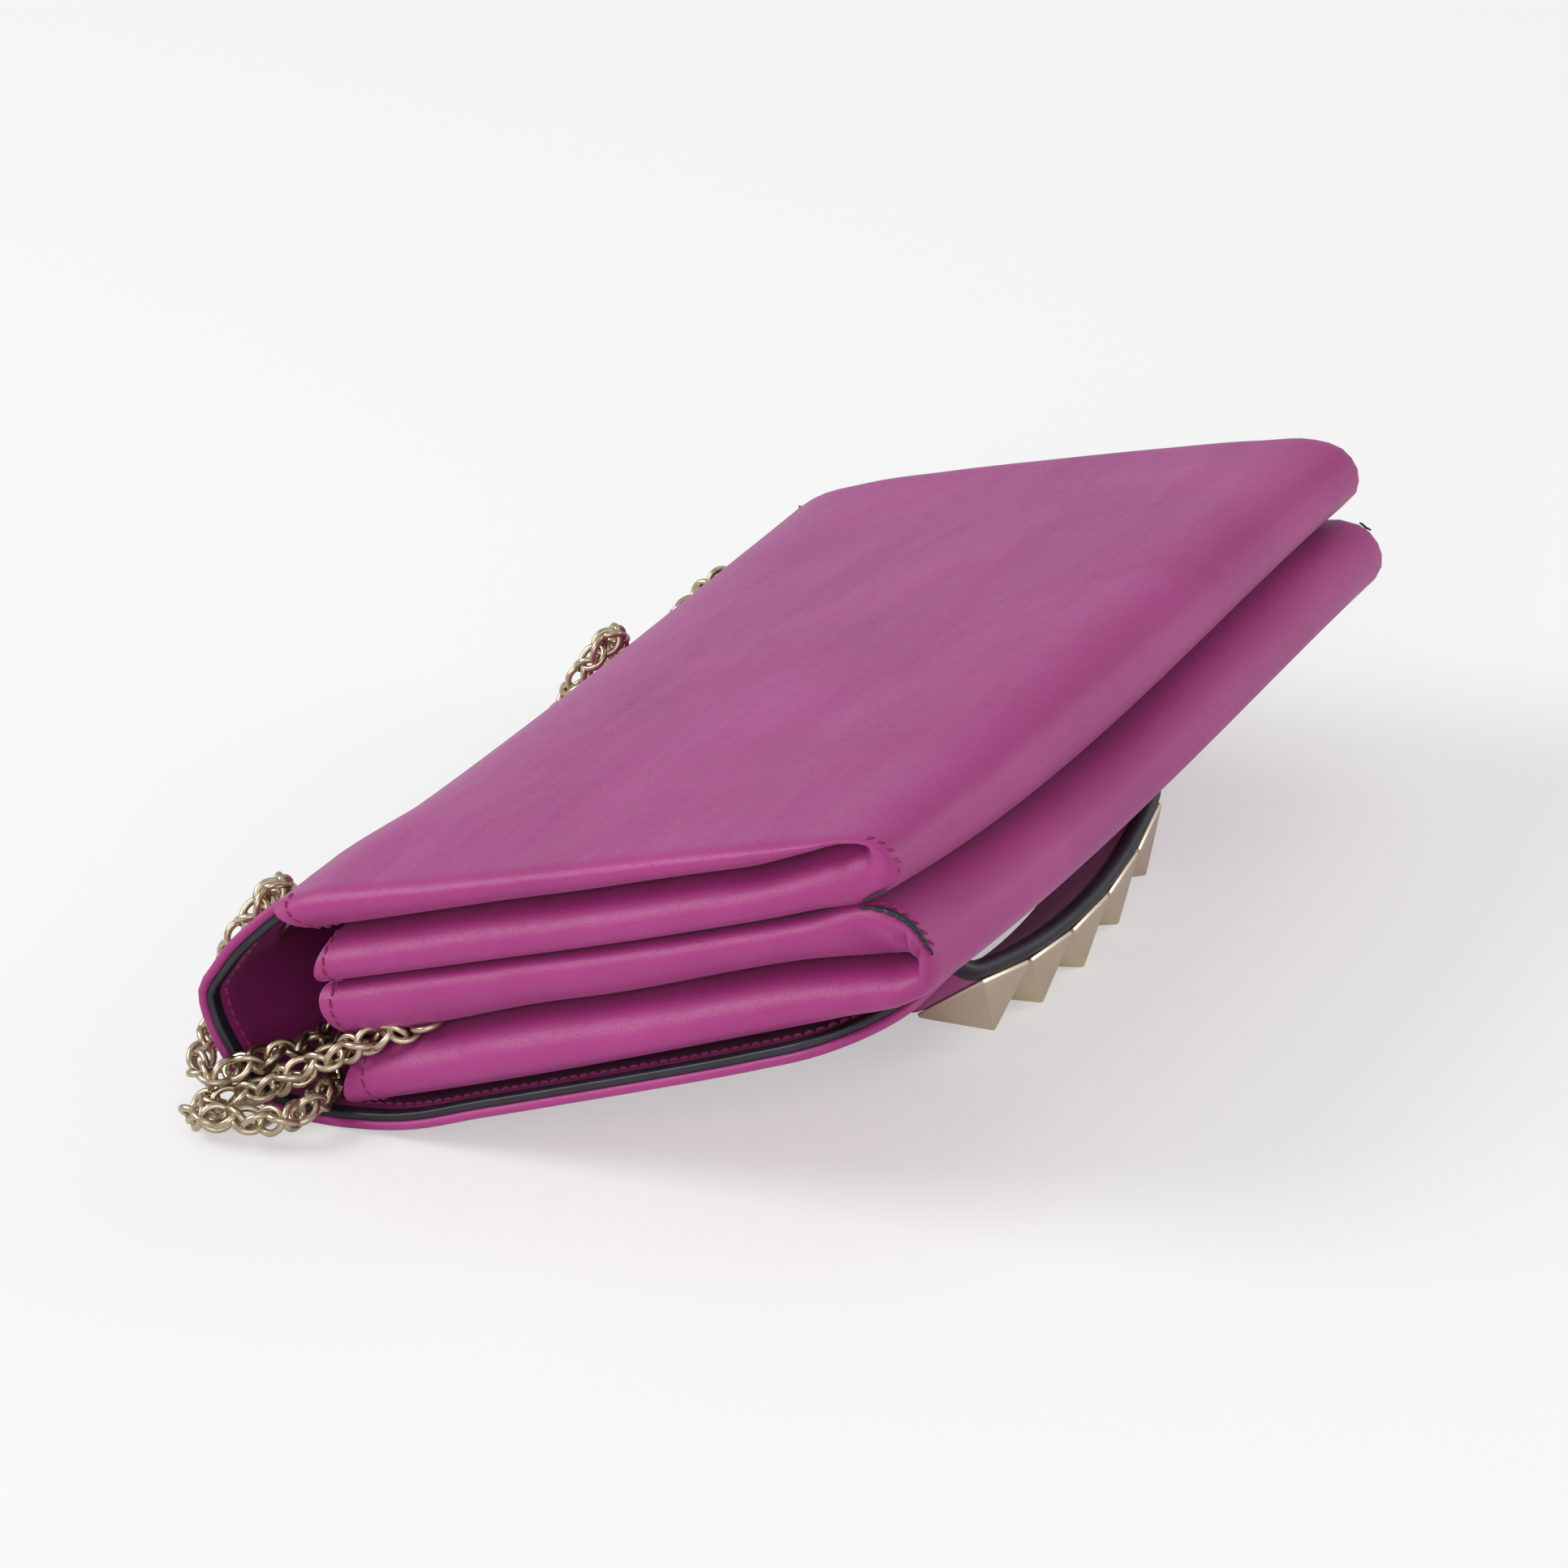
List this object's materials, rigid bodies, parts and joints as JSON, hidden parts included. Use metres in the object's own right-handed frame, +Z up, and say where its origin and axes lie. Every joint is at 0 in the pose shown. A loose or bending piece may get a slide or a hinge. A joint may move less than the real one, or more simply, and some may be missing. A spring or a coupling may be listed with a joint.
{
  "type": "shoulder clutch bag",
  "caption": "Accordion clutch bag with a front flap, an arched finger bar set with pyramid studs and a rope-chain shoulder strap, lying face down.",
  "frame": {"origin": "centre of the bounding box, on the surface the bag lies on", "axes": "+X along the bag's width, away from the end where the chain comes out; +Y from the bottom roll towards the fold of the flap; +Z up, away from the surface, on the side of the back wall"},
  "size_m": [0.2816, 0.1894, 0.0894],
  "materials": {
    "bag_leather": "smooth satin calf leather",
    "lining_leather": "smooth matt leather lining",
    "pouch_lining": "fine woven lining",
    "edge_paint": "satin black edge paint",
    "stud_metal": "brushed pale gold plate",
    "chain_metal": "satin pale gold plate",
    "eyelet_metal": "polished pale gold plate",
    "snap_metal": "polished pale gold plate",
    "bar_board": "plain formed sheet",
    "board": "plain fibre board"
  },
  "bodies": {
    "flap": {"bar_core": "bar_board", "bar_edge_paint_lower": "edge_paint", "bar_edge_paint_upper": "edge_paint", "bar_inner_leather": "bag_leather", "bar_outer_leather": "bag_leather", "bar_rivets": "snap_metal", "flap_edge_paint": "edge_paint", "flap_leather": "bag_leather", "flap_lining": "lining_leather", "flap_stiffener": "board", "fold_leather": "bag_leather", "fold_lining": "lining_leather", "snap_male": "snap_metal", "snap_male_plate": "snap_metal", "stud_1": "stud_metal", "stud_2": "stud_metal", "stud_3": "stud_metal", "stud_4": "stud_metal", "stud_5": "stud_metal"},
    "pouches": {"chain_ring": "chain_metal", "chain_strap": "chain_metal", "eyelet_far": "eyelet_metal", "eyelet_near": "eyelet_metal", "eyelet_washer_far": "eyelet_metal", "eyelet_washer_near": "eyelet_metal", "front_gusset_far": "bag_leather", "front_gusset_near": "bag_leather", "front_pouch_leather": "bag_leather", "front_pouch_lining": "pouch_lining", "rear_gusset_far": "bag_leather", "rear_gusset_near": "bag_leather", "rear_pouch_leather": "bag_leather", "rear_pouch_lining": "pouch_lining", "snap_female": "snap_metal", "snap_female_plate": "snap_metal", "spine_leather": "bag_leather", "spine_lining": "lining_leather"}
  },
  "joints": [
    {"name": "flap_fold", "type": "hinge", "parent": "flap", "child": "pouches", "pos_m": [0, 0.06922, 0.02283], "axis": [-1, 0, 0], "range_deg": [0, 90], "deforming": ["fold_leather", "fold_lining"]}
  ]
}
